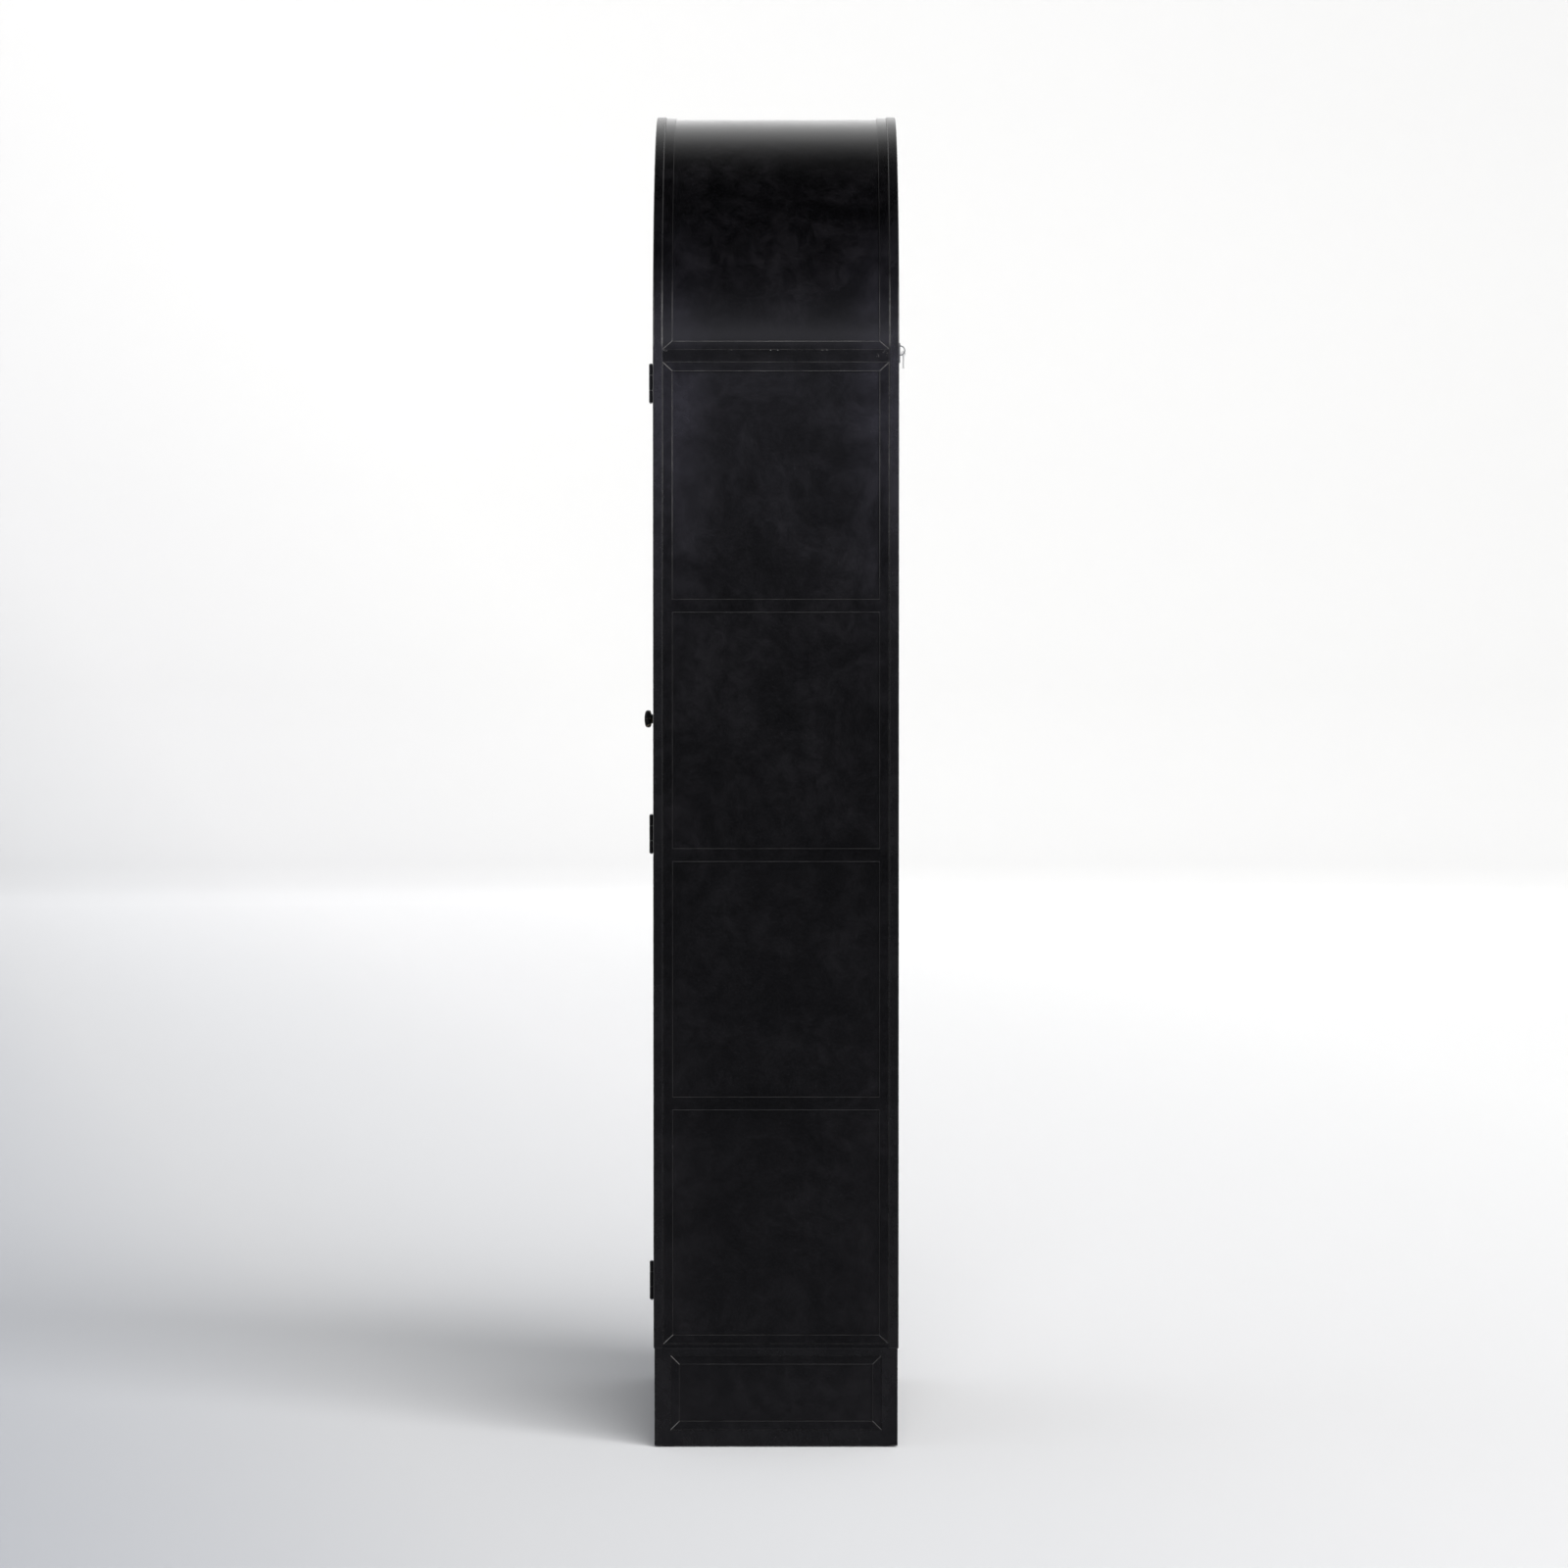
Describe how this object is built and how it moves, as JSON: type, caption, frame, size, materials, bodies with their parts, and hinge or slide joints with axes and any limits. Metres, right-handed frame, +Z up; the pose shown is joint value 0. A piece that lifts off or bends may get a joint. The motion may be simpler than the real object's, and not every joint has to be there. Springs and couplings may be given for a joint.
{
  "type": "grandfather clock",
  "caption": "Free-standing arch-topped longcase clock: black iron case with full-height glazed door, round dial, seconds pendulum and two cable-hung weights.",
  "frame": {"origin": "middle of the floor plane under the case, level with the bottom of the glides", "axes": "+X across the front towards the hinged side, +Y from the glazed front to the back, +Z up"},
  "size_m": [0.812, 0.4429, 2.1955],
  "materials": {
    "blackened_iron": "blackened, waxed sheet and tube with a cloudy satin bloom",
    "nylon": "black nylon",
    "zinc_steel": "bright zinc plate",
    "polished_steel": "polished steel",
    "oak_board": "oiled oak",
    "black_plastic": "moulded",
    "clear_glass": "clear float glass",
    "knob_iron": "blackened with worn bronze highlights",
    "dial_black": "satin black",
    "silvered_ring": "silvered, circular brushed",
    "numeral_black": "black wax",
    "hand_brass": "polished brass",
    "movement_brass": "grained brass",
    "polished_brass": "polished, lacquered brass"
  },
  "bodies": {
    "case": {"glides": "nylon", "plinth_frame": "blackened_iron", "plinth_panels": "blackened_iron", "plinth_strips": "blackened_iron", "floor_pan": "blackened_iron", "front_frame": "blackened_iron", "rear_frame": "blackened_iron", "side_rails": "blackened_iron", "side_panel_right": "blackened_iron", "side_panel_left": "blackened_iron", "side_strips": "blackened_iron", "arch_skin": "blackened_iron", "arch_strips": "blackened_iron", "back_panel": "blackened_iron", "tether_eyes": "zinc_steel", "seatboard": "oak_board", "seat_angles": "blackened_iron", "catch_magnet": "black_plastic", "hinge_case_leaves": "blackened_iron", "hinge_pins": "zinc_steel", "dial_plate": "dial_black", "chapter_ring": "silvered_ring", "dial_numerals": "numeral_black", "movement_front_plate": "movement_brass", "movement_back_plate": "movement_brass", "plate_pillars": "movement_brass", "movement_nuts": "zinc_steel", "pendulum_cock": "movement_brass", "bell": "movement_brass", "bell_stand": "zinc_steel", "time_cable": "zinc_steel", "strike_cable": "zinc_steel"},
    "door": {"door_frame": "blackened_iron", "door_muntins": "blackened_iron", "door_glass": "clear_glass", "glazing_beads": "blackened_iron", "hinge_door_leaves": "blackened_iron", "door_knob": "knob_iron"},
    "centre": {"centre_wheel": "movement_brass", "cannon_pinion": "movement_brass", "minute_hand": "hand_brass", "hand_nut": "hand_brass"},
    "time_great": {"time_great_wheel": "movement_brass"},
    "third": {"third_wheel": "movement_brass"},
    "escape": {"escape_wheel": "movement_brass", "seconds_hand": "hand_brass"},
    "minute_work": {"minute_wheel": "movement_brass"},
    "hour": {"hour_wheel": "movement_brass", "hour_hand": "hand_brass"},
    "pendulum": {"pendulum_rod": "polished_brass", "pendulum_bob": "polished_brass"},
    "anchor": {"pallet_anchor": "polished_steel"},
    "strike_great": {"strike_great_wheel": "movement_brass"},
    "pin": {"pin_wheel": "movement_brass"},
    "fly": {"strike_fly": "movement_brass"},
    "hammer": {"strike_hammer": "polished_steel"},
    "time_drive": {"time_weight": "polished_brass"},
    "time_pulley": {"time_sheave": "polished_brass"},
    "strike_drive": {"strike_weight": "polished_brass"},
    "strike_pulley": {"strike_sheave": "polished_brass"}
  },
  "joints": [
    {"name": "door_swing", "type": "hinge", "parent": "case", "child": "door", "pos_m": [0.385, -0.2034, 1], "axis": [0, 0, 1], "range_deg": [0, 165]},
    {"name": "hands_turn", "type": "hinge", "parent": "case", "child": "centre", "pos_m": [0, -0.045, 1.7895], "axis": [0, 1, 0], "continuous": true},
    {"name": "time_great_turn", "type": "hinge", "parent": "case", "child": "time_great", "pos_m": [0.05324, -0.045, 1.75222], "axis": [0, 1, 0], "continuous": true},
    {"name": "third_turn", "type": "hinge", "parent": "case", "child": "third", "pos_m": [-0.02122, -0.045, 1.82293], "axis": [0, 1, 0], "continuous": true},
    {"name": "escape_turn", "type": "hinge", "parent": "case", "child": "escape", "pos_m": [0, -0.045, 1.8495], "axis": [0, 1, 0], "continuous": true},
    {"name": "minute_work_turn", "type": "hinge", "parent": "case", "child": "minute_work", "pos_m": [-0.02036, -0.105, 1.76914], "axis": [0, 1, 0], "continuous": true},
    {"name": "hour_hand_turn", "type": "hinge", "parent": "case", "child": "hour", "pos_m": [0, -0.13, 1.7895], "axis": [0, 1, 0], "continuous": true},
    {"name": "pendulum_swing", "type": "hinge", "parent": "case", "child": "pendulum", "pos_m": [0, 0.045, 1.88627], "axis": [0, 1, 0], "range_deg": [-3.5, 3.5]},
    {"name": "anchor_rock", "type": "hinge", "parent": "case", "child": "anchor", "pos_m": [0, -0.01, 1.88627], "axis": [0, 1, 0], "range_deg": [-3.5, 3.5]},
    {"name": "pin_wheel_turn", "type": "hinge", "parent": "case", "child": "pin", "pos_m": [-0.07206, -0.045, 1.8039], "axis": [0, 1, 0], "continuous": true},
    {"name": "strike_great_turn", "type": "hinge", "parent": "case", "child": "strike_great", "pos_m": [-0.05324, -0.045, 1.75222], "axis": [0, 1, 0], "continuous": true},
    {"name": "fly_turn", "type": "hinge", "parent": "case", "child": "fly", "pos_m": [-0.05974, -0.045, 1.83773], "axis": [0, 1, 0], "continuous": true},
    {"name": "hammer_lift", "type": "hinge", "parent": "case", "child": "hammer", "pos_m": [-0.1, -0.045, 1.8745], "axis": [0, -1, 0], "range_deg": [0, 14]},
    {"name": "time_weight_rise", "type": "slide", "parent": "case", "child": "time_drive", "axis": [0, 0, 1], "range_m": [0, 0.85], "deforming": ["time_cable"]},
    {"name": "strike_weight_rise", "type": "slide", "parent": "case", "child": "strike_drive", "axis": [0, 0, 1], "range_m": [0, 0.85], "deforming": ["strike_cable"]},
    {"name": "time_sheave_turn", "type": "hinge", "parent": "time_drive", "child": "time_pulley", "pos_m": [0.09814, -0.051, 0.64], "axis": [0, 1, 0], "range_deg": [0, 2031]},
    {"name": "strike_sheave_turn", "type": "hinge", "parent": "strike_drive", "child": "strike_pulley", "pos_m": [-0.09814, -0.051, 0.64], "axis": [0, 1, 0], "range_deg": [-2031, 0]}
  ],
  "couplings": [
    {"joint": "time_great_turn", "follows": "hands_turn", "ratio": -0.083333},
    {"joint": "third_turn", "follows": "hands_turn", "ratio": -8},
    {"joint": "escape_turn", "follows": "hands_turn", "ratio": 60},
    {"joint": "minute_work_turn", "follows": "hands_turn", "ratio": -0.5},
    {"joint": "hour_hand_turn", "follows": "hands_turn", "ratio": 0.083333},
    {"joint": "anchor_rock", "follows": "pendulum_swing", "ratio": 1},
    {"joint": "strike_great_turn", "follows": "pin_wheel_turn", "ratio": -0.1},
    {"joint": "fly_turn", "follows": "pin_wheel_turn", "ratio": -8},
    {"joint": "time_sheave_turn", "follows": "time_weight_rise", "rad_per_m": 41.667},
    {"joint": "strike_sheave_turn", "follows": "strike_weight_rise", "rad_per_m": -41.667}
  ]
}
